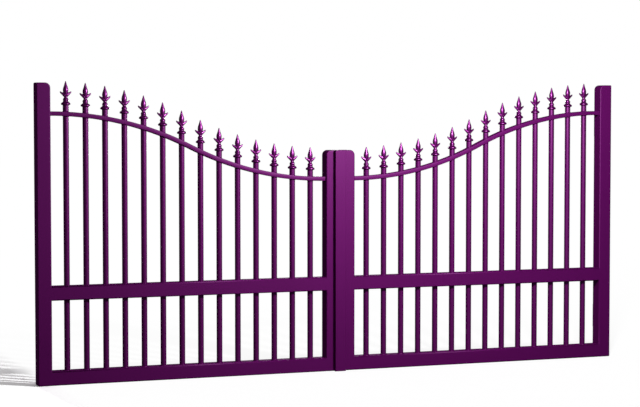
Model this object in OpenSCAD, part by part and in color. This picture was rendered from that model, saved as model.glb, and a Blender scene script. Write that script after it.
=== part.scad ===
// Double swing gate in welded steel tube: two leaves with a sweeping top rail,
// round pickets with cast spearheads, a cover strip over the meeting gap and
// lift-off hinges on bolted plates behind the outer stiles.
//
// The front faces -Y and +Z is up. The origin is the middle of the back face
// of the left lower hinge plate, which lies flat on the pillar.

/* [Opening] */
// Width over both closed leaves
gate_w = 3640; // [2800:10:4400]
// Height of the outer stiles, which carry the hinges
hinge_stile_h = 1700; // [1400:10:2050]
// Height of the two stiles that meet in the middle
meeting_stile_h = 1310; // [1090:10:1390]
// Gap between the closed leaves
leaf_gap = 20; // [12:1:24]

/* [Frame] */
// Side of the square tube of the frame
frame_tube = 80; // [66:1:96]
// Wall of the frame tube
frame_wall = 3; // [2:0.5:5]
// Radius of the shoulder at the top of each stile
shoulder_r = 30; // [20:1:40]
// Thickness of the plates that close the ends of the stiles
end_plate_t = 3; // [2:0.5:6]
// Height of the underside of the middle rail
middle_rail_z = 479; // [380:1:580]

/* [Top rail] */
// Depth of the top rail, front to back
top_rail_d = 50; // [44:1:60]
// Height of the top rail's section
top_rail_h = 25; // [20:1:32]
// Wall of the top rail's tube
top_rail_wall = 2.5; // [2:0.5:4]
// Drop from the top of the hinge stile to the top rail's centre line
top_rail_outer_drop = 173; // [140:1:210]
// Drop from the top of the meeting stile to the top rail's centre line
top_rail_inner_drop = 169; // [135:1:205]

/* [Pickets] */
// Number of pickets in a leaf
pickets = 14; // [10:1:15]
// Outside diameter of a picket
picket_d = 33.7; // [28:0.1:40.5]
// Wall of a picket
picket_wall = 2; // [1.5:0.5:3]
// Hinge stile to the centre of the first picket
first_picket = 95; // [60:1:115]
// Centre of the last picket to the meeting stile
last_picket = 89; // [60:1:110]
// Top rail's centre line to the top of a picket
picket_rise = 49.5; // [40:0.5:60]
// Clearance round a picket in its holes
picket_clearance = 0.3; // [0.1:0.1:1]

/* [Spearheads] */
// Length of the blade, from its widest point to the tip
blade_l = 51; // [43:1:63]
// Width of the blade
blade_w = 31.5; // [26:0.5:37]
// Thickness of the blade
blade_t = 25; // [20:1:30]
// Width over the barbs
barb_span = 65; // [54:1:76]
// Thickness of a barb
barb_t = 12; // [8:0.5:16]
// Height of a barb's blunt tip
barb_tip = 6; // [4:0.5:7]
// Height from the neck to the blade's widest point
barb_h = 40; // [34:1:46]
// Height of the collar, the ball and the neck together
base_h = 44; // [38:1:50]
// How far the collar's rim stands out past the picket
collar_overhang = 9.5; // [7:0.5:11]
// Diameter of the ball above the collar
ball_d = 31; // [27:1:36]
// Diameter of the neck
neck_d = 19; // [16:0.5:22]
// Length of the spigot inside the picket
spigot_l = 22; // [15:1:30]

/* [Cover strip] */
// Width of the cover strip
strip_w = 65; // [62:1:78]
// How far the cover strip stands off its packer
strip_t = 20; // [14:1:30]
// Sheet that the cover strip is folded from
strip_wall = 3; // [2:0.5:4]
// How far the strip laps the left leaf
strip_lap = 32; // [24:1:36]
// Thickness of the packer that holds the strip clear of the left leaf
packer_t = 5; // [5:0.5:8]

/* [Hinges] */
// Diameter of a hinge pin
pin_d = 14; // [12:0.5:17]
// Outside diameter of the hinge barrels
barrel_d = 22; // [21:0.5:27]
// Length of each hinge barrel
barrel_l = 40; // [32:1:48]
// Outer face of the stile to the pin's axis
pin_inset = 16; // [14:1:22]
// Back face of the stile to the pin's axis
pin_standoff = 15; // [14:1:20]
// Pin's axis to the front face of the hinge plate
plate_standoff = 16; // [14:1:22]
// Clearance between a pin and its eye, on the radius
pin_clearance = 0.05; // [0.02:0.01:0.1]
// Gap between the two barrels of a hinge
barrel_gap = 0.5; // [0.3:0.1:1]
// Height of the lower hinges
lower_hinge_z = 250; // [180:1:350]
// Drop from the top of the hinge stile to the upper hinges
upper_hinge_drop = 250; // [180:1:350]

/* [Hinge plates] */
// Width of a hinge plate
plate_w = 48; // [44:1:58]
// Height of a hinge plate
plate_h = 140; // [130:1:168]
// Thickness of a hinge plate
plate_t = 6; // [5:0.5:10]
// Diameter of the bolt holes
bolt_hole_d = 11; // [9:0.5:13]
// Spacing of the bolt holes across the plate
bolt_spacing_x = 24; // [20:1:28]
// Spacing of the bolt holes up the plate
bolt_spacing_z = 110; // [104:1:114]

/* [Hidden] */
$fn = 96;
paint = "#6b1768";
arc_fn = 720;
cut = 1;

leaf_w = (gate_w - leaf_gap) / 2;
rail_l = leaf_w - 2 * frame_tube;
meeting_stile_x = leaf_w - frame_tube;
mid_y = frame_tube / 2;
upper_hinge_z = hinge_stile_h - upper_hinge_drop;
pin_y = frame_tube + pin_standoff;
mount_y = pin_y + plate_standoff + plate_t;
plate_x = pin_inset - 6;
plate_mid_x = plate_x + plate_w / 2;

outer_z = hinge_stile_h - top_rail_outer_drop;
inner_z = meeting_stile_h - top_rail_inner_drop;
sweep_drop = outer_z - inner_z;
sweep_r = (rail_l * rail_l + sweep_drop * sweep_drop) / (4 * sweep_drop);
sweep_a = asin(rail_l / 2 / sweep_r);
picket_pitch = (rail_l - first_picket - last_picket) / (pickets - 1);
picket_xs = [for (i = [0:pickets - 1]) first_picket + i * picket_pitch];
spigot_d = picket_d - 2 * picket_wall - 2 * picket_clearance;

// Height of the top rail's centre line at a distance x from the hinge stile.
function sweep_z(x) = x < rail_l / 2
    ? outer_z - sweep_r + sqrt(sweep_r * sweep_r - x * x)
    : inner_z + sweep_r - sqrt(sweep_r * sweep_r - (rail_l - x) * (rail_l - x));

// Puts a left-hand piece on its side of the gate, with the origin on the mount.
module on_side(side) {
    color(paint) translate([-plate_mid_x, -mount_y, -lower_hinge_z])
        if (side == "right")
            translate([gate_w, 0, 0]) mirror([1, 0, 0]) children();
        else
            children();
}

// Stands a flat outline up in the X-Z plane, from depth y, with thickness d.
module upright(y, d) {
    translate([0, y + d, 0]) rotate([90, 0, 0]) linear_extrude(d) children();
}

// Stile outline with one rounded shoulder, at x = frame_tube.
module stile_outline(h, inset = 0) {
    r = shoulder_r - inset;
    translate([inset, 0]) square([frame_tube - 2 * inset, h - shoulder_r]);
    translate([inset, 0]) square([frame_tube - shoulder_r - inset, h - inset]);
    translate([frame_tube - shoulder_r, h - shoulder_r]) intersection() {
        circle(r);
        translate([-cut, -cut]) square(r + 2 * cut);
    }
}

module stile_tube(h) {
    difference() {
        upright(0, frame_tube) stile_outline(h);
        translate([frame_wall, frame_wall, -cut])
            cube([frame_tube - 2 * frame_wall, frame_tube - 2 * frame_wall, h + 2 * cut]);
    }
}

module stile_cap(h) {
    upright(frame_wall, frame_tube - 2 * frame_wall) intersection() {
        difference() {
            stile_outline(h);
            stile_outline(h, end_plate_t);
        }
        translate([frame_wall, h - shoulder_r])
            square([frame_tube - 2 * frame_wall, shoulder_r]);
    }
}

module stile_foot() {
    translate([frame_wall, frame_wall, 0])
        cube([frame_tube - 2 * frame_wall, frame_tube - 2 * frame_wall, end_plate_t]);
}

// A meeting stile is a hinge stile turned so that its shoulder faces the pickets.
module at_meeting() {
    translate([leaf_w, 0, 0]) mirror([1, 0, 0]) children();
}

module hinge_stile(side) {
    on_side(side) stile_tube(hinge_stile_h);
}

module hinge_stile_cap(side) {
    on_side(side) stile_cap(hinge_stile_h);
}

module hinge_stile_foot(side) {
    on_side(side) stile_foot();
}

module meeting_stile(side) {
    on_side(side) at_meeting() stile_tube(meeting_stile_h);
}

module meeting_stile_cap(side) {
    on_side(side) at_meeting() stile_cap(meeting_stile_h);
}

module meeting_stile_foot(side) {
    on_side(side) at_meeting() stile_foot();
}

// Holes for the pickets, from z up through h.
module picket_holes(z, h) {
    for (x = picket_xs)
        translate([x, mid_y, z]) cylinder(d = picket_d + 2 * picket_clearance, h = h);
}

// Square tube between the stiles; its holes start at hole_z.
module rail(z, hole_z) {
    translate([frame_tube, 0, z]) difference() {
        cube([rail_l, frame_tube, frame_tube]);
        translate([-cut, frame_wall, frame_wall])
            cube([rail_l + 2 * cut, frame_tube - 2 * frame_wall, frame_tube - 2 * frame_wall]);
        picket_holes(hole_z, 2 * frame_tube);
    }
}

module bottom_rail(side) {
    on_side(side) rail(0, frame_tube / 2);
}

module middle_rail(side) {
    on_side(side) rail(middle_rail_z, -frame_tube / 2);
}

// Half of the sweep, a band of thickness t that climbs back from the origin
// and is cut off square there, along Y.
module half_sweep(t) {
    intersection() {
        translate([0, -sweep_r]) difference() {
            circle(sweep_r + t / 2, $fn = arc_fn);
            circle(sweep_r - t / 2, $fn = arc_fn);
        }
        translate([-rail_l, -rail_l]) square([rail_l, 2 * rail_l]);
    }
}

// The other half is the same band turned half round the middle of the sweep.
// Both lean down together, and the ends are cut upright at the stiles.
module sweep_band(t) {
    translate([rail_l / 2, (outer_z + inner_z) / 2]) intersection() {
        rotate(-sweep_a) {
            half_sweep(t);
            rotate(180) half_sweep(t);
        }
        square([rail_l, sweep_drop + 2 * top_rail_h], center = true);
    }
}

module top_rail(side) {
    on_side(side) translate([frame_tube, 0, 0]) difference() {
        upright(mid_y - top_rail_d / 2, top_rail_d) sweep_band(top_rail_h);
        upright(mid_y - top_rail_d / 2 + top_rail_wall, top_rail_d - 2 * top_rail_wall)
            sweep_band(top_rail_h - 2 * top_rail_wall);
        picket_holes(inner_z - top_rail_h, sweep_drop + 2 * top_rail_h);
    }
}

// The pickets stand on the lower wall of the bottom rail.
module picket_row(side) {
    on_side(side) translate([frame_tube, mid_y, frame_wall])
        for (x = picket_xs)
            translate([x, 0, 0]) difference() {
                cylinder(d = picket_d, h = sweep_z(x) + picket_rise - frame_wall);
                translate([0, 0, -cut])
                    cylinder(d = picket_d - 2 * picket_wall, h = hinge_stile_h);
            }
}

// Disc whose rim runs through a and b and bites sag deep, to the left of the way from a to b.
module bite(a, b, sag) {
    half = norm(b - a) / 2;
    r = (half * half + sag * sag) / (2 * sag);
    way = (b - a) / (2 * half);
    translate((a + b) / 2 + (r - sag) * [-way[1], way[0]]) circle(r);
}

// One barb: it leaves the neck, runs out and up to a blunt tip, and comes back to the blade.
module barb_outline() {
    reach = barb_span / 2;
    tip_z = base_h + barb_h * 0.83;
    neck = [neck_d / 2, base_h];
    tip_low = [reach, tip_z - barb_tip];
    tip_high = [reach - 1, tip_z];
    notch = [blade_w * 0.44, base_h + barb_h * 0.68];
    difference() {
        polygon([[0, base_h], neck, tip_low, tip_high, notch, [0, notch[1]]]);
        bite(notch, tip_high, 1.2);
    }
}

// Turned base: collar with a blunt rim, waist, ball and neck, over the spigot.
module spear_base() {
    rim_r = picket_d / 2 + collar_overhang;
    rotate_extrude() {
        translate([0, -spigot_l]) square([spigot_d / 2, spigot_l + cut]);
        polygon([
            [0, 0], [picket_d / 2, 0], [rim_r, base_h * 0.1], [rim_r, base_h * 0.22],
            [neck_d * 0.75, base_h / 2], [0, base_h / 2]
        ]);
        intersection() {
            translate([0, base_h * 0.64]) circle(d = ball_d);
            translate([0, base_h / 2 - cut]) square([ball_d, base_h / 2]);
        }
        square([neck_d / 2, base_h + barb_h / 3]);
    }
}

// Outline of the blade, w wide at its widest point.
module blade_outline(w) {
    wide_z = base_h + barb_h;
    shoulder_z = base_h + barb_h * 0.45;
    upper_z = wide_z + blade_l * 0.4;
    polygon([
        [0, base_h], [w * 0.36, shoulder_z], [w / 2, wide_z], [w * 0.34, upper_z], [0, wide_z + blade_l],
        [-w * 0.34, upper_z], [-w / 2, wide_z], [-w * 0.36, shoulder_z]
    ]);
}

// The blade's section is a lozenge, so it is what two crossed slabs have in common.
module blade() {
    w = blade_w * blade_t / norm([blade_w, blade_t]);
    turn = atan(blade_w / blade_t);
    intersection() {
        rotate([0, 0, turn]) upright(-blade_w, 2 * blade_w) blade_outline(w);
        rotate([0, 0, -turn]) upright(-blade_w, 2 * blade_w) blade_outline(w);
    }
}

// Cast spearhead, seen full width from the front.
module spearhead() {
    spear_base();
    blade();
    upright(-barb_t / 2, barb_t) {
        barb_outline();
        mirror([1, 0]) barb_outline();
    }
}

module spearhead_row(side) {
    on_side(side) translate([frame_tube, mid_y, 0])
        for (x = picket_xs)
            translate([x, 0, sweep_z(x) + picket_rise]) spearhead();
}

// Block between a barrel and what it is welded to, from depth y0 to y1.
module barrel_lug(y0, y1, h) {
    translate([plate_x, y0, 0]) cube([2 * (pin_inset - plate_x), y1 - y0, h]);
}

// The eye sits on the leaf and drops over the pin.
module hinge_eye(side, z) {
    on_side(side) translate([0, 0, z + barrel_gap]) difference() {
        union() {
            barrel_lug(frame_tube, pin_y, barrel_l);
            translate([pin_inset, pin_y, 0]) cylinder(d = barrel_d, h = barrel_l);
        }
        translate([pin_inset, pin_y, -cut])
            cylinder(d = pin_d + 2 * pin_clearance, h = barrel_l + 2 * cut);
    }
}

// Bolted plate with the lower barrel and the pin that stands up out of it.
module hinge_plate(side, z) {
    on_side(side) translate([0, 0, z]) {
        difference() {
            translate([plate_x, mount_y - plate_t, -plate_h / 2]) cube([plate_w, plate_t, plate_h]);
            for (i = [-1, 1], k = [-1, 1])
                translate([plate_mid_x + i * bolt_spacing_x / 2, mount_y + cut, k * bolt_spacing_z / 2])
                    rotate([90, 0, 0]) cylinder(d = bolt_hole_d, h = plate_t + 2 * cut);
        }
        translate([0, 0, -barrel_l]) barrel_lug(pin_y, mount_y - plate_t, barrel_l);
        translate([pin_inset, pin_y, -barrel_l]) cylinder(d = barrel_d, h = barrel_l);
        translate([pin_inset, pin_y, -barrel_l]) cylinder(d = pin_d, h = 2 * barrel_l);
    }
}

// Folded channel with closed ends, open at the back. It is fixed to the right
// leaf and laps the left one.
module cover_strip() {
    on_side("left") translate([leaf_w - strip_lap, -packer_t - strip_t, 0]) difference() {
        cube([strip_w, strip_t, meeting_stile_h]);
        translate([strip_wall, strip_wall, strip_wall])
            cube([strip_w - 2 * strip_wall, strip_t, meeting_stile_h - 2 * strip_wall]);
    }
}

module cover_strip_packer() {
    on_side("left") translate([leaf_w + leaf_gap, -packer_t, 0])
        cube([strip_w - strip_lap - leaf_gap, packer_t, meeting_stile_h]);
}

hinge_stile("left");  // left_hinge_stile
hinge_stile_cap("left");  // left_hinge_stile_cap
hinge_stile_foot("left");  // left_hinge_stile_foot
meeting_stile("left");  // left_meeting_stile
meeting_stile_cap("left");  // left_meeting_stile_cap
meeting_stile_foot("left");  // left_meeting_stile_foot
bottom_rail("left");  // left_bottom_rail
middle_rail("left");  // left_middle_rail
top_rail("left");  // left_top_rail
picket_row("left");  // left_pickets
spearhead_row("left");  // left_spearheads
hinge_eye("left", lower_hinge_z);  // left_lower_hinge_eye
hinge_eye("left", upper_hinge_z);  // left_upper_hinge_eye
hinge_plate("left", lower_hinge_z);  // left_lower_hinge_plate
hinge_plate("left", upper_hinge_z);  // left_upper_hinge_plate
hinge_stile("right");  // right_hinge_stile
hinge_stile_cap("right");  // right_hinge_stile_cap
hinge_stile_foot("right");  // right_hinge_stile_foot
meeting_stile("right");  // right_meeting_stile
meeting_stile_cap("right");  // right_meeting_stile_cap
meeting_stile_foot("right");  // right_meeting_stile_foot
bottom_rail("right");  // right_bottom_rail
middle_rail("right");  // right_middle_rail
top_rail("right");  // right_top_rail
picket_row("right");  // right_pickets
spearhead_row("right");  // right_spearheads
hinge_eye("right", lower_hinge_z);  // right_lower_hinge_eye
hinge_eye("right", upper_hinge_z);  // right_upper_hinge_eye
hinge_plate("right", lower_hinge_z);  // right_lower_hinge_plate
hinge_plate("right", upper_hinge_z);  // right_upper_hinge_plate
cover_strip();
cover_strip_packer();
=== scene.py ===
from math import asin, cos, pi, radians

import bmesh
import bpy
from mathutils import Matrix, Vector


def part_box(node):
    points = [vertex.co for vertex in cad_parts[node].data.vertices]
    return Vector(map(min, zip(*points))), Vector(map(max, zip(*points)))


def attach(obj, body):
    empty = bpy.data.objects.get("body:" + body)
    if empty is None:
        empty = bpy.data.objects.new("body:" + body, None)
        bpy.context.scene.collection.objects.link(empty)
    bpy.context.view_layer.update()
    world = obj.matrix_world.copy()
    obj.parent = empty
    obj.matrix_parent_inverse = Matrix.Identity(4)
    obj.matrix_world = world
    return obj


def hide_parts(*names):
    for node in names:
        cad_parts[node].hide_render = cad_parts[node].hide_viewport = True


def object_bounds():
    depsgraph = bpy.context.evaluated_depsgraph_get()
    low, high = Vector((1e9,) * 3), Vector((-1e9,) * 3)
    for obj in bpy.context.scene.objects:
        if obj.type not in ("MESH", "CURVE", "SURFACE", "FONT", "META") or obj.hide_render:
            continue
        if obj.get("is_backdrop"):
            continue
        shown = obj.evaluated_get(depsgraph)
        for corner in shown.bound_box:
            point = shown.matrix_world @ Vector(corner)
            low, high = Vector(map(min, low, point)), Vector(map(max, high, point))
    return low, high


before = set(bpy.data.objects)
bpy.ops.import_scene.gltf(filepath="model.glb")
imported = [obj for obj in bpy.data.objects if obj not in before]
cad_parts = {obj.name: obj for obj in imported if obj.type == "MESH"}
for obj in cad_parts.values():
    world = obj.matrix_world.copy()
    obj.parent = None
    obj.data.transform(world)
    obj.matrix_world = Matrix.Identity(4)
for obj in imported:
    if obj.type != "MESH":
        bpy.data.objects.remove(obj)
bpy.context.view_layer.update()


# ---------------------------------------------------------------------------
# Hinge stiles: the tall outer uprights, 80 mm square steel tube with one
# rounded shoulder, a plate welded into each end and ground flush, then the
# whole leaf powder coated in one deep purple.
# ---------------------------------------------------------------------------
LEAVES = ("left", "right")
TUBE_EDGE = 0.006
TUBE_EDGE_STEPS = 3
SHOULDER = 0.030
SHOULDER_STEPS = 8
SHARP = radians(40)
TOUCH = 1e-6

DRIFT_DETAIL = 3.0
DRIFT_RANGE = (0.3, 0.7)
DRIFT_MIDDLE = 0.5
FILM_DETAIL = 1.0
FILM_GRAIN = 0.4
FILM_STRENGTH = 0.5
PURPLE_RIM = (0.62, 0.03, 0.58, 1.0)


def coating_group():
    """Slow drift in shade, fine relief of the film, and a roughness that follows the drift."""
    group = bpy.data.node_groups.new("surface_film", "ShaderNodeTree")
    face = group.interface
    face.new_socket("Vector", in_out="INPUT", socket_type="NodeSocketVector")
    face.new_socket("Colour", in_out="INPUT", socket_type="NodeSocketColor")
    face.new_socket("Shade colour", in_out="INPUT", socket_type="NodeSocketColor")
    for name in ("Drift scale", "Film scale", "Roughness", "Spread"):
        face.new_socket(name, in_out="INPUT", socket_type="NodeSocketFloat")
    face.new_socket("Colour", in_out="OUTPUT", socket_type="NodeSocketColor")
    face.new_socket("Roughness", in_out="OUTPUT", socket_type="NodeSocketFloat")
    face.new_socket("Height", in_out="OUTPUT", socket_type="NodeSocketFloat")
    new = group.nodes.new
    link = group.links.new
    given = new("NodeGroupInput")
    result = new("NodeGroupOutput")
    drift = new("ShaderNodeTexNoise")
    drift.inputs["Detail"].default_value = DRIFT_DETAIL
    link(given.outputs["Vector"], drift.inputs["Vector"])
    link(given.outputs["Drift scale"], drift.inputs["Scale"])
    film = new("ShaderNodeTexNoise")
    film.inputs["Detail"].default_value = FILM_DETAIL
    film.inputs["Roughness"].default_value = FILM_GRAIN
    link(given.outputs["Vector"], film.inputs["Vector"])
    link(given.outputs["Film scale"], film.inputs["Scale"])
    shade = new("ShaderNodeMapRange")
    shade.inputs["From Min"].default_value = DRIFT_RANGE[0]
    shade.inputs["From Max"].default_value = DRIFT_RANGE[1]
    link(drift.outputs["Fac"], shade.inputs["Value"])
    mix = new("ShaderNodeMix")
    mix.data_type = "RGBA"
    link(shade.outputs["Result"], mix.inputs["Factor"])
    link(given.outputs["Colour"], mix.inputs["A"])
    link(given.outputs["Shade colour"], mix.inputs["B"])
    centred = new("ShaderNodeMath")
    centred.operation = "SUBTRACT"
    centred.inputs[1].default_value = DRIFT_MIDDLE
    link(drift.outputs["Fac"], centred.inputs[0])
    rough = new("ShaderNodeMath")
    rough.operation = "MULTIPLY_ADD"
    link(centred.outputs[0], rough.inputs[0])
    link(given.outputs["Spread"], rough.inputs[1])
    link(given.outputs["Roughness"], rough.inputs[2])
    link(mix.outputs["Result"], result.inputs["Colour"])
    link(rough.outputs[0], result.inputs["Roughness"])
    link(film.outputs["Fac"], result.inputs["Height"])
    return group


SURFACE_FILM = coating_group()


def finish_material(name, film_depth, film_settings, shader_settings):
    """A Principled material whose colour, roughness and relief come from the surface film."""
    material = bpy.data.materials.new(name)
    material.use_nodes = True
    nodes = material.node_tree.nodes
    link = material.node_tree.links.new
    shader = nodes["Principled BSDF"]
    for socket, value in shader_settings.items():
        shader.inputs[socket].default_value = value
    place = nodes.new("ShaderNodeTexCoord")
    film = nodes.new("ShaderNodeGroup")
    film.node_tree = SURFACE_FILM
    for socket, value in film_settings.items():
        film.inputs[socket].default_value = value
    link(place.outputs["Object"], film.inputs["Vector"])
    link(film.outputs["Colour"], shader.inputs["Base Color"])
    link(film.outputs["Roughness"], shader.inputs["Roughness"])
    bump = nodes.new("ShaderNodeBump")
    bump.inputs["Distance"].default_value = film_depth
    bump.inputs["Strength"].default_value = FILM_STRENGTH
    link(film.outputs["Height"], bump.inputs["Height"])
    link(bump.outputs["Normal"], shader.inputs["Normal"])
    return material


purple = finish_material(
    "purple_powder_coat",
    film_depth=0.00010,
    film_settings={
        "Colour": (0.122, 0.0026, 0.1136, 1.0),
        "Shade colour": (0.1136, 0.0023, 0.1058, 1.0),
        "Drift scale": 2.2,
        "Film scale": 420.0,
        "Roughness": 0.60,
        "Spread": 0.06,
    },
    shader_settings={
        "Metallic": 0.21,
        "Specular IOR Level": 0.0,
        "Specular Tint": PURPLE_RIM,
        "Coat Weight": 0.05,
        "Coat IOR": 2.0,
        "Coat Roughness": 0.46,
    },
)


def block(bm, low, high):
    """A solid block between two corners."""
    made = bmesh.ops.create_cube(bm, size=1.0)
    bmesh.ops.scale(bm, vec=high - low, verts=made["verts"])
    bmesh.ops.translate(bm, vec=(low + high) / 2, verts=made["verts"])


def round_off(bm, edges, radius, segments):
    """Rounds edges and shades only the rounding smooth, so that the flats stay flat."""
    made = bmesh.ops.bevel(
        bm, geom=edges, offset=radius, offset_type="OFFSET", segments=segments,
        profile=0.5, affect="EDGES", clamp_overlap=True, material=-1,
    )
    for face in made["faces"]:
        face.smooth = True


def sharp_edges(bm):
    """The edges where two faces meet at a corner."""
    return [e for e in bm.edges if len(e.link_faces) == 2 and e.calc_face_angle() > SHARP]


def piece_from(bm, name, body, slot, material, *nodes):
    """Turns the finished shape into a named piece that rides on its body."""
    bmesh.ops.recalc_face_normals(bm, faces=bm.faces[:])
    mesh = bpy.data.meshes.new(name)
    bm.to_mesh(mesh)
    bm.free()
    mesh.materials.append(material)
    piece = bpy.data.objects.new(name, mesh)
    bpy.context.scene.collection.objects.link(piece)
    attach(piece, body)
    if nodes:
        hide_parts(*nodes)


def stile(bm, low, high, picket_side, rails):
    """A capped square tube; its edges stay square where the rails are welded on flush."""
    block(bm, low, high)
    face_x = high.x if picket_side > 0 else low.x
    top = [
        e for e in bm.edges
        if all(abs(v.co.z - high.z) < TOUCH and abs(v.co.x - face_x) < TOUCH for v in e.verts)
    ]
    round_off(bm, top, SHOULDER, SHOULDER_STEPS)
    for z in [level for rail in rails for level in rail]:
        bmesh.ops.bisect_plane(
            bm, geom=bm.verts[:] + bm.edges[:] + bm.faces[:],
            plane_co=(0, 0, z), plane_no=(0, 0, 1), dist=TOUCH,
        )
    soft = []
    for edge in sharp_edges(bm):
        a, b = (v.co for v in edge.verts)
        upright = abs(a.x - b.x) < TOUCH and abs(a.y - b.y) < TOUCH
        middle = (a + b) / 2
        welded = any(bottom < middle.z < top_z for bottom, top_z in rails)
        if upright and welded and abs(middle.x - face_x) < TOUCH:
            continue
        soft.append(edge)
    round_off(bm, soft, TUBE_EDGE, TUBE_EDGE_STEPS)


def rail_bands(side):
    """Lowest and highest level of each flush rail on that leaf."""
    bands = []
    for name in ("bottom_rail", "middle_rail"):
        low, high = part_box(f"{side}_{name}")
        bands.append((low.z, high.z))
    return bands


for side in LEAVES:
    bm = bmesh.new()
    low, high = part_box(f"{side}_hinge_stile")
    stile(bm, low, high, 1 if side == "left" else -1, rail_bands(side))
    piece_from(
        bm, f"{side}_hinge_stile_tube", f"{side}_leaf", "purple_paint", purple,
        f"{side}_hinge_stile", f"{side}_hinge_stile_cap", f"{side}_hinge_stile_foot",
    )


# ---------------------------------------------------------------------------
# Meeting stiles: the two shorter uprights in the middle, the same tube and
# the same ends, each with its shoulder towards its own pickets.
# ---------------------------------------------------------------------------
for side in LEAVES:
    bm = bmesh.new()
    low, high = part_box(f"{side}_meeting_stile")
    stile(bm, low, high, -1 if side == "left" else 1, rail_bands(side))
    piece_from(
        bm, f"{side}_meeting_stile_tube", f"{side}_leaf", "purple_paint", purple,
        f"{side}_meeting_stile", f"{side}_meeting_stile_cap", f"{side}_meeting_stile_foot",
    )


# ---------------------------------------------------------------------------
# Bottom and middle rails: 80 mm square tube between the stiles, drilled for
# the pickets and welded flush with the stiles, front and back.
# ---------------------------------------------------------------------------
for side in LEAVES:
    for name in ("bottom_rail", "middle_rail"):
        bm = bmesh.new()
        low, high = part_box(f"{side}_{name}")
        block(bm, low, high)
        along = [e for e in bm.edges if abs(e.verts[0].co.x - e.verts[1].co.x) > TOUCH]
        round_off(bm, along, TUBE_EDGE, TUBE_EDGE_STEPS)
        piece_from(
            bm, f"{side}_{name}_tube", f"{side}_leaf", "purple_paint", purple, f"{side}_{name}",
        )


# ---------------------------------------------------------------------------
# Top rail: flat tube, 50 mm deep and 25 mm high, rolled into a sweep of two
# equal arcs that leave the hinge stile and reach the meeting stile level.
# ---------------------------------------------------------------------------
RAIL_HEIGHT = 0.025
RAIL_EDGE = 0.003
RAIL_EDGE_STEPS = 3
ARC_STEPS = 40
CREASE = radians(60)


class Sweep:
    """The top rail's centre line, from its hinge end to its meeting end."""

    def __init__(self, side):
        self.low, self.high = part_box(f"{side}_top_rail")
        self.length = self.high.x - self.low.x
        drop = self.high.z - self.low.z - RAIL_HEIGHT
        self.radius = (self.length ** 2 + drop ** 2) / (4 * drop)
        self.turn = asin(self.length / 2 / self.radius)
        self.start = self.low.x if side == "left" else self.high.x
        self.way = 1 if side == "left" else -1
        self.top = self.high.z - RAIL_HEIGHT / 2
        self.bottom = self.low.z + RAIL_HEIGHT / 2
        self.y = (self.low.y + self.high.y) / 2

    def level(self, x):
        """Height of the centre line at x, and its slope as an angle about Y."""
        far = (x - self.start) * self.way
        if far < self.length / 2:
            angle = asin(far / self.radius)
            z = self.top - self.radius * (1 - cos(angle))
        else:
            angle = asin((self.length - far) / self.radius)
            z = self.bottom + self.radius * (1 - cos(angle))
        return z, angle * self.way


for side in LEAVES:
    sweep = Sweep(side)
    bm = bmesh.new()
    made = bmesh.ops.create_grid(bm, x_segments=1, y_segments=1, size=0.5)
    bmesh.ops.rotate(bm, verts=made["verts"], matrix=Matrix.Rotation(pi / 2, 3, "Y"))
    depth = sweep.high.y - sweep.low.y
    bmesh.ops.scale(bm, vec=(1, depth, RAIL_HEIGHT), verts=made["verts"])
    bmesh.ops.translate(bm, vec=(sweep.start, sweep.y, sweep.top), verts=made["verts"])
    bmesh.ops.bevel(
        bm, geom=bm.verts[:], offset=RAIL_EDGE, offset_type="OFFSET", segments=RAIL_EDGE_STEPS,
        profile=0.5, affect="VERTICES", clamp_overlap=True, material=-1,
    )
    section = bm.verts[:] + bm.edges[:] + bm.faces[:]
    for centre_z, bend in ((sweep.top - sweep.radius, 1), (sweep.bottom + sweep.radius, -1)):
        centre_x = sweep.start if bend > 0 else sweep.start + sweep.way * sweep.length
        made = bmesh.ops.spin(
            bm, geom=section, cent=(centre_x, sweep.y, centre_z), axis=(0, 1, 0),
            angle=bend * sweep.way * sweep.turn, steps=ARC_STEPS,
            use_merge=False, use_duplicate=False,
        )
        section = made["geom_last"]
    for face in bm.faces:
        face.smooth = len(face.verts) == 4
    for edge in bm.edges:
        if len(edge.link_faces) == 2 and edge.calc_face_angle() > CREASE:
            edge.smooth = False
    piece_from(
        bm, f"{side}_top_rail_tube", f"{side}_leaf", "purple_paint", purple, f"{side}_top_rail",
    )


# ---------------------------------------------------------------------------
# Pickets: fourteen round tubes in each leaf, in the same purple with a
# slightly smoother skin. They stand in the bottom rail, pass through the
# middle and top rails, and are welded all round to each.
# ---------------------------------------------------------------------------
PICKETS = 14
PICKET_SIDES = 32
WELD = 0.0035
WELD_ROOT = 0.001
WELD_HOLLOW = 0.35
TURN_STEPS = 24

sleek = finish_material(
    "purple_picket_coat",
    film_depth=0.00008,
    film_settings={
        "Colour": (0.122, 0.0024, 0.1136, 1.0),
        "Shade colour": (0.1136, 0.0022, 0.1058, 1.0),
        "Drift scale": 2.2,
        "Film scale": 420.0,
        "Roughness": 0.50,
        "Spread": 0.06,
    },
    shader_settings={
        "Metallic": 0.30,
        "Specular IOR Level": 0.0,
        "Specular Tint": PURPLE_RIM,
        "Coat Weight": 0.09,
        "Coat IOR": 2.0,
        "Coat Roughness": 0.40,
    },
)


class Row:
    """Where the pickets of a leaf stand."""

    def __init__(self, side):
        self.low, self.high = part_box(f"{side}_pickets")
        self.radius = (self.high.y - self.low.y) / 2
        first = self.low.x + self.radius
        pitch = (self.high.x - self.low.x - 2 * self.radius) / (PICKETS - 1)
        self.xs = [first + i * pitch for i in range(PICKETS)]
        self.y = (self.low.y + self.high.y) / 2
        self.sweep = Sweep(side)
        outer = self.xs[0] if side == "left" else self.xs[-1]
        self.rise = self.high.z - self.sweep.level(outer)[0]

    def top(self, x):
        """Height of the top of the picket that stands at x."""
        return self.sweep.level(x)[0] + self.rise


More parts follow.
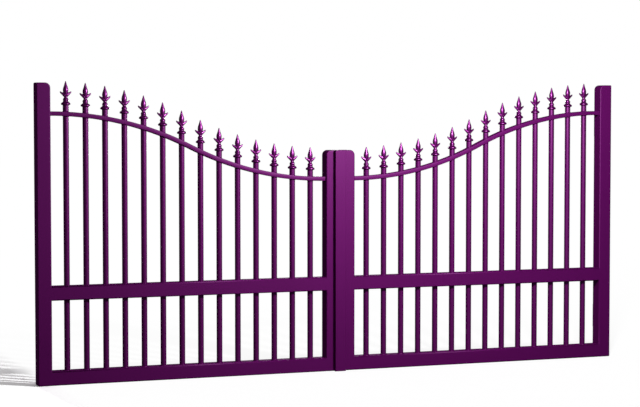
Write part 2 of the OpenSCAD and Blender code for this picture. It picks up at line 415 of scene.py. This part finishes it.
def weld_ring(bm, radius, place):
    """A small fillet of weld round a picket, lying on the plane of a rail."""
    hollow = WELD * WELD_HOLLOW
    corners = [
        (radius - WELD_ROOT, 0), (radius + WELD, 0), (radius + hollow, hollow), (radius, WELD),
    ]
    verts = [bm.verts.new((x, 0, z)) for x, z in corners]
    edges = [bm.edges.new((verts[i - 1], verts[i])) for i in range(len(verts))]
    before = set(bm.verts) - set(verts)
    bmesh.ops.spin(
        bm, geom=verts + edges, cent=(0, 0, 0), axis=(0, 0, 1), angle=2 * pi, steps=TURN_STEPS,
        use_merge=True, use_duplicate=False,
    )
    ring = [v for v in bm.verts if v not in before]
    for face in {f for v in ring for f in v.link_faces}:
        face.smooth = True
    bmesh.ops.transform(bm, matrix=place, verts=ring)


for side in LEAVES:
    row = Row(side)
    bm = bmesh.new()
    for x in row.xs:
        height = row.top(x) - row.low.z
        bmesh.ops.create_cone(
            bm, cap_ends=True, segments=PICKET_SIDES,
            radius1=row.radius, radius2=row.radius, depth=height,
            matrix=Matrix.Translation((x, row.y, row.low.z + height / 2)),
        )
    for face in bm.faces:
        face.smooth = len(face.verts) == 4
    for edge in bm.edges:
        edge.smooth = edge.calc_face_angle() < CREASE
    piece_from(
        bm, f"{side}_picket_tubes", f"{side}_leaf", "purple_paint", sleek, f"{side}_pickets",
    )
    bm = bmesh.new()
    bottom_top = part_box(f"{side}_bottom_rail")[1].z
    middle_low, middle_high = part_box(f"{side}_middle_rail")
    flip = Matrix.Rotation(pi, 4, "X")
    for x in row.xs:
        here = Vector((x, row.y, 0))
        for z, turn in ((bottom_top, Matrix()), (middle_low.z, flip), (middle_high.z, Matrix())):
            weld_ring(bm, row.radius, Matrix.Translation(here + Vector((0, 0, z))) @ turn)
        level, angle = row.sweep.level(x)
        lean = Matrix.Rotation(angle, 4, "Y") @ Matrix.Diagonal((1 / cos(angle), 1, 1, 1))
        half = RAIL_HEIGHT / 2 / cos(angle)
        above = Matrix.Translation(here + Vector((0, 0, level + half)))
        below = Matrix.Translation(here + Vector((0, 0, level - half)))
        weld_ring(bm, row.radius, above @ lean)
        weld_ring(bm, row.radius, below @ lean @ flip)
    piece_from(bm, f"{side}_picket_welds", f"{side}_leaf", "purple_paint", sleek)


# ---------------------------------------------------------------------------
# Spearheads: one iron casting on each picket, with a collar, a ball and a
# neck, a leaf-shaped blade and two barbs. Its spigot sits in the tube, and
# its smooth skin takes a glossier coat than the drawn tubes.
# ---------------------------------------------------------------------------
# Collar, ball and neck: radius and height up the side.
BASE_PROFILE = (
    (0.0, -0.0010), (0.0168, -0.0010), (0.0172, 0.0002), (0.0216, 0.0008), (0.0250, 0.0024),
    (0.0262, 0.0048), (0.0264, 0.0078), (0.0260, 0.0102), (0.0246, 0.0122), (0.0214, 0.0142),
    (0.0182, 0.0165), (0.0159, 0.0190), (0.0145, 0.0216), (0.0141, 0.0232), (0.0147, 0.0252),
    (0.0155, 0.0280), (0.0158, 0.0305), (0.0153, 0.0338), (0.0140, 0.0366), (0.0120, 0.0392),
    (0.0104, 0.0414), (0.0097, 0.0436), (0.0096, 0.0465), (0.0100, 0.0495), (0.0, 0.0550),
)
# Blade: height, half width and half depth.
BLADE = (
    (0.0460, 0.0080, 0.0078), (0.0560, 0.0100, 0.0092), (0.0660, 0.0128, 0.0108),
    (0.0750, 0.0150, 0.0121), (0.0820, 0.0157, 0.0125), (0.0870, 0.0157, 0.0124),
    (0.0920, 0.0149, 0.0118), (0.0970, 0.0137, 0.0109), (0.1020, 0.0121, 0.0097),
    (0.1080, 0.0099, 0.0080), (0.1140, 0.0079, 0.0065), (0.1200, 0.0062, 0.0052),
    (0.1260, 0.0045, 0.0038), (0.1310, 0.0030, 0.0026), (0.1340, 0.0016, 0.0015),
    (0.1350, 0.0005, 0.0005),
)
# Barb: distance out from the middle, lowest and highest point, and half depth.
BARB = (
    (0.0030, 0.0420, 0.0700, 0.0080), (0.0070, 0.0420, 0.0706, 0.0080),
    (0.0095, 0.0444, 0.0710, 0.0076), (0.0122, 0.0474, 0.0713, 0.0070),
    (0.0154, 0.0512, 0.0717, 0.0062), (0.0190, 0.0551, 0.0723, 0.0054),
    (0.0226, 0.0588, 0.0736, 0.0046), (0.0258, 0.0620, 0.0753, 0.0039),
    (0.0286, 0.0648, 0.0768, 0.0034), (0.0306, 0.0672, 0.0777, 0.0029),
    (0.0319, 0.0694, 0.0775, 0.0022), (0.0325, 0.0715, 0.0762, 0.0012),
)
BLADE_SIDES = 16
BARB_SIDES = 12


def loft(bm, places, segments):
    """A closed solid through a row of round sections, each laid out by its own matrix."""
    before = set(bm.faces)
    ring = bmesh.ops.create_circle(bm, cap_ends=True, radius=1.0, segments=segments)["verts"]
    bmesh.ops.transform(bm, matrix=places[0], verts=ring)
    rims = list({e for v in ring for e in v.link_edges})
    for place, after in zip(places, places[1:]):
        made = bmesh.ops.extrude_edge_only(bm, edges=rims)["geom"]
        ring = [g for g in made if isinstance(g, bmesh.types.BMVert)]
        rims = [
            g for g in made
            if isinstance(g, bmesh.types.BMEdge) and all(v in ring for v in g.verts)
        ]
        bmesh.ops.transform(bm, matrix=after @ place.inverted(), verts=ring)
    bmesh.ops.contextual_create(bm, geom=rims)
    for face in set(bm.faces) - before:
        face.smooth = True


def spearhead_mesh():
    """One spearhead, standing on the origin, as a mesh to repeat along a row."""
    bm = bmesh.new()
    verts = [bm.verts.new((r, 0, z)) for r, z in BASE_PROFILE]
    edges = [bm.edges.new(pair) for pair in zip(verts, verts[1:])]
    bmesh.ops.spin(
        bm, geom=verts + edges, cent=(0, 0, 0), axis=(0, 0, 1), angle=2 * pi, steps=TURN_STEPS,
        use_merge=True, use_duplicate=False,
    )
    bmesh.ops.remove_doubles(bm, verts=bm.verts[:], dist=TOUCH)
    for face in bm.faces:
        face.smooth = True
    loft(bm, [
        Matrix.Translation((0, 0, z)) @ Matrix.Diagonal((width, depth, 1, 1))
        for z, width, depth in BLADE
    ], BLADE_SIDES)
    upright = Matrix.Rotation(pi / 2, 4, "Y")
    for hand in (1, -1):
        loft(bm, [
            Matrix.Translation((hand * x, 0, (low_z + high_z) / 2)) @ upright
            @ Matrix.Diagonal(((high_z - low_z) / 2, depth, 1, 1))
            for x, low_z, high_z, depth in BARB
        ], BARB_SIDES)
    bmesh.ops.recalc_face_normals(bm, faces=bm.faces[:])
    mesh = bpy.data.meshes.new("spearhead")
    bm.to_mesh(mesh)
    bm.free()
    return mesh


gloss = finish_material(
    "purple_gloss_coat",
    film_depth=0.00008,
    film_settings={
        "Colour": (0.120, 0.0016, 0.112, 1.0),
        "Shade colour": (0.104, 0.0014, 0.097, 1.0),
        "Drift scale": 30.0,
        "Film scale": 500.0,
        "Roughness": 0.40,
        "Spread": 0.08,
    },
    shader_settings={
        "Metallic": 0.55,
        "Specular IOR Level": 0.0,
        "Specular Tint": PURPLE_RIM,
        "Coat Weight": 0.07,
        "Coat IOR": 2.6,
        "Coat Roughness": 0.30,
    },
)

one_spearhead = spearhead_mesh()
for side in LEAVES:
    row = Row(side)
    bm = bmesh.new()
    for x in row.xs:
        count = len(bm.verts)
        bm.from_mesh(one_spearhead)
        bm.verts.ensure_lookup_table()
        bmesh.ops.translate(bm, vec=(x, row.y, row.top(x)), verts=bm.verts[count:])
    piece_from(
        bm, f"{side}_spearhead_castings", f"{side}_leaf", "purple_paint", gloss,
        f"{side}_spearheads",
    )
bpy.data.meshes.remove(one_spearhead)


# ---------------------------------------------------------------------------
# Cover strip: a folded steel channel with closed ends, open at the back. It
# is welded to the right meeting stile over a thin packer, laps the left
# leaf, and hides the gap between the two.
# ---------------------------------------------------------------------------
STRIP_SHEET = 0.003
STRIP_FOLD = 0.002
STRIP_FOLD_STEPS = 3

bm = bmesh.new()
low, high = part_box("cover_strip")
block(bm, low, high)
back = [f for f in bm.faces if f.calc_center_median().y > high.y - TOUCH]
bmesh.ops.inset_region(bm, faces=back, thickness=STRIP_SHEET, depth=0, use_even_offset=True)
made = bmesh.ops.extrude_face_region(bm, geom=back)
inner = [g for g in made["geom"] if isinstance(g, bmesh.types.BMVert)]
bmesh.ops.delete(bm, geom=back, context="FACES")
bmesh.ops.translate(bm, vec=(0, low.y + STRIP_SHEET - high.y, 0), verts=inner)


def is_outer_corner(point, low, high):
    """Whether a point is one of the outer corners of the channel."""
    across = min(abs(point.x - low.x), abs(point.x - high.x))
    upward = min(abs(point.z - low.z), abs(point.z - high.z))
    return across < TOUCH and upward < TOUCH


folds = [e for e in sharp_edges(bm) if all(is_outer_corner(v.co, low, high) for v in e.verts)]
round_off(bm, folds, STRIP_FOLD, STRIP_FOLD_STEPS)
piece_from(bm, "cover_strip_channel", "right_leaf", "purple_paint", purple, "cover_strip")

bm = bmesh.new()
low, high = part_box("cover_strip_packer")
block(bm, low, high)
piece_from(bm, "cover_strip_packer_bar", "right_leaf", "purple_paint", purple, "cover_strip_packer")


# ---------------------------------------------------------------------------
# Hinges: each leaf lifts on and off two bolted plates. The eye is turned
# steel welded to the back of the hinge stile and coated with the leaf; the
# plate with its pin is zinc plated and stays on the pillar.
# ---------------------------------------------------------------------------
zinc = finish_material(
    "zinc_plating",
    film_depth=0.00010,
    film_settings={
        "Colour": (0.40, 0.41, 0.43, 1.0),
        "Shade colour": (0.27, 0.28, 0.31, 1.0),
        "Drift scale": 60.0,
        "Film scale": 900.0,
        "Roughness": 0.56,
        "Spread": 0.20,
    },
    shader_settings={
        "Metallic": 1.0,
    },
)

for side in LEAVES:
    for level in ("lower", "upper"):
        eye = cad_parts[f"{side}_{level}_hinge_eye"]
        eye.data.materials.clear()
        eye.data.materials.append(purple)
        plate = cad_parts[f"{side}_{level}_hinge_plate"]
        plate.data.materials.clear()
        plate.data.materials.append(zinc)


# ---------------------------------------------------------------------------
# Studio: a white floor level with the underside of the gate, a white room, a
# lamp high in front with a second at the same place that lights highlights
# only, a weak level light from behind, and a standing person's view.
# ---------------------------------------------------------------------------
stile_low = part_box("left_hinge_stile")[0]
FRONT_LAMP = (2.38, -1.98, 2.16)
FRONT_WATTS = 240
FRONT_SIZE = 0.08
GLINT_WATTS = 480
GLINT_SIZE = 0.12
BACK_STRENGTH = 2.4
BACK_SPREAD = radians(4)
BACK_TURN = (radians(-90), 0, radians(-21))
ROOM_LIGHT = 0.16
GLOSS_SHARE = 0.16
FLOOR_REACH = 60
FLOOR_DROP = 0.0005
FLOOR_GREY = (0.10, 0.10, 0.10, 1)
FLOOR_SHADE = 0.22
FLOOR_SHADE_LEFT = 2.8
FLOOR_SHADE_STARTS = 0.12
FLOOR_SHADE_ENDS = -0.02
SENSOR = 36
LENS = 106.55
EYE = (-2.329, -10.392, 1.555)
LOOK = (radians(90 - 2.870), 0, radians(-21.134))


def seen(tree):
    """1 for what the camera and clear glass see, and a dim share of it for reflections."""
    path = tree.nodes.new("ShaderNodeLightPath")
    dim = tree.nodes.new("ShaderNodeMath")
    dim.operation = "MULTIPLY"
    dim.inputs[1].default_value = GLOSS_SHARE
    tree.links.new(path.outputs["Is Glossy Ray"], dim.inputs[0])
    total = dim.outputs[0]
    for ray in ("Is Camera Ray", "Is Transmission Ray"):
        most = tree.nodes.new("ShaderNodeMath")
        most.operation = "MAXIMUM"
        tree.links.new(total, most.inputs[0])
        tree.links.new(path.outputs[ray], most.inputs[1])
        total = most.outputs[0]
    return total


world = bpy.data.worlds.new("studio")
bpy.context.scene.world = world
world.use_nodes = True
tree = world.node_tree
room = tree.nodes["Background"]
room.inputs["Color"].default_value = (1, 1, 1, 1)
strength = tree.nodes.new("ShaderNodeMath")
strength.operation = "MAXIMUM"
strength.inputs[1].default_value = ROOM_LIGHT
tree.links.new(seen(tree), strength.inputs[0])
tree.links.new(strength.outputs[0], room.inputs["Strength"])

bm = bmesh.new()
bmesh.ops.create_grid(bm, x_segments=1, y_segments=1, size=FLOOR_REACH)
bmesh.ops.translate(bm, vec=(stile_low.x, 0, stile_low.z - FLOOR_DROP), verts=bm.verts[:])
mesh = bpy.data.meshes.new("floor")
bm.to_mesh(mesh)
bm.free()
floor = bpy.data.objects.new("floor", mesh)
bpy.context.scene.collection.objects.link(floor)
floor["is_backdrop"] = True
ground = bpy.data.materials.new("white_floor")
ground.use_nodes = True
tree = ground.node_tree
dull = tree.nodes["Principled BSDF"]
dull.inputs["Base Color"].default_value = FLOOR_GREY
dull.inputs["Roughness"].default_value = 1.0
dull.inputs["Specular IOR Level"].default_value = 0.0


def floor_maths(kind, first, second):
    """A sum, product or the like of two sockets or numbers."""
    node = tree.nodes.new("ShaderNodeMath")
    node.operation = kind
    for socket, value in zip(node.inputs, (first, second)):
        if isinstance(value, (int, float)):
            socket.default_value = value
        else:
            tree.links.new(value, socket)
    return node.outputs[0]


# Where the lamp and the room reach the floor, their light and the floor's own
# glow add up to white, and in the gate's shadow the lamp's part is missing.
# The shade is a painted shadow strength, set along the floor rather than by the lamps: darkest by
# the left stile, faint elsewhere.
place = tree.nodes.new("ShaderNodeTexCoord")
gap = tree.nodes.new("ShaderNodeVectorMath")
gap.operation = "DISTANCE"
tree.links.new(place.outputs["Object"], gap.inputs[0])
gap.inputs[1].default_value = stile_low + Vector(FRONT_LAMP)
cube = floor_maths("POWER", gap.outputs["Value"], 3.0)
received = floor_maths("DIVIDE", FRONT_WATTS * FRONT_LAMP[2] / (4 * pi * pi), cube)
apart = tree.nodes.new("ShaderNodeSeparateXYZ")
tree.links.new(place.outputs["Object"], apart.inputs[0])
# Painted shadow strength: the floor's colour rises towards the left stile, so the lamp's shadow is
# darker there.
shade = tree.nodes.new("ShaderNodeMapRange")
shade.inputs["From Min"].default_value = stile_low.x + FLOOR_SHADE_STARTS
shade.inputs["From Max"].default_value = stile_low.x + FLOOR_SHADE_ENDS
shade.inputs["To Min"].default_value = FLOOR_SHADE
shade.inputs["To Max"].default_value = FLOOR_SHADE_LEFT
tree.links.new(apart.outputs["X"], shade.inputs["Value"])
both = floor_maths("ADD", received, ROOM_LIGHT)
whole = floor_maths("MULTIPLY", both, shade.outputs["Result"])
rest = floor_maths("MAXIMUM", floor_maths("SUBTRACT", 1.0, whole), 0.0)
shadow = tree.nodes.new("ShaderNodeBsdfDiffuse")
tree.links.new(shade.outputs["Result"], shadow.inputs["Color"])
white = tree.nodes.new("ShaderNodeEmission")
tree.links.new(rest, white.inputs["Strength"])
lit = tree.nodes.new("ShaderNodeAddShader")
tree.links.new(shadow.outputs["BSDF"], lit.inputs[0])
tree.links.new(white.outputs["Emission"], lit.inputs[1])
mix = tree.nodes.new("ShaderNodeMixShader")
tree.links.new(seen(tree), mix.inputs["Fac"])
tree.links.new(dull.outputs["BSDF"], mix.inputs[1])
tree.links.new(lit.outputs["Shader"], mix.inputs[2])
tree.links.new(mix.outputs["Shader"], tree.nodes["Material Output"].inputs["Surface"])
mesh.materials.append(ground)


def lamp(name, watts, size):
    """A soft round lamp in front of the gate."""
    light = bpy.data.lights.new(name, "POINT")
    light.energy = watts
    light.shadow_soft_size = size
    holder = bpy.data.objects.new(name, light)
    holder.location = stile_low + Vector(FRONT_LAMP)
    bpy.context.scene.collection.objects.link(holder)
    return holder


lamp("front_lamp", FRONT_WATTS, FRONT_SIZE)
lamp("glint_lamp", GLINT_WATTS, GLINT_SIZE).visible_diffuse = False
back_light = bpy.data.lights.new("back_light", "SUN")
back_light.energy = BACK_STRENGTH
back_light.angle = BACK_SPREAD
holder = bpy.data.objects.new("back_light", back_light)
holder.rotation_euler = BACK_TURN
bpy.context.scene.collection.objects.link(holder)

eye_view = bpy.data.cameras.new("camera")
eye_view.sensor_width = SENSOR
eye_view.lens = LENS
camera = bpy.data.objects.new("camera", eye_view)
camera.location = stile_low + Vector(EYE)
camera.rotation_euler = LOOK
bpy.context.scene.collection.objects.link(camera)
bpy.context.scene.camera = camera
bpy.context.scene.view_settings.view_transform = "Standard"

low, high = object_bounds()
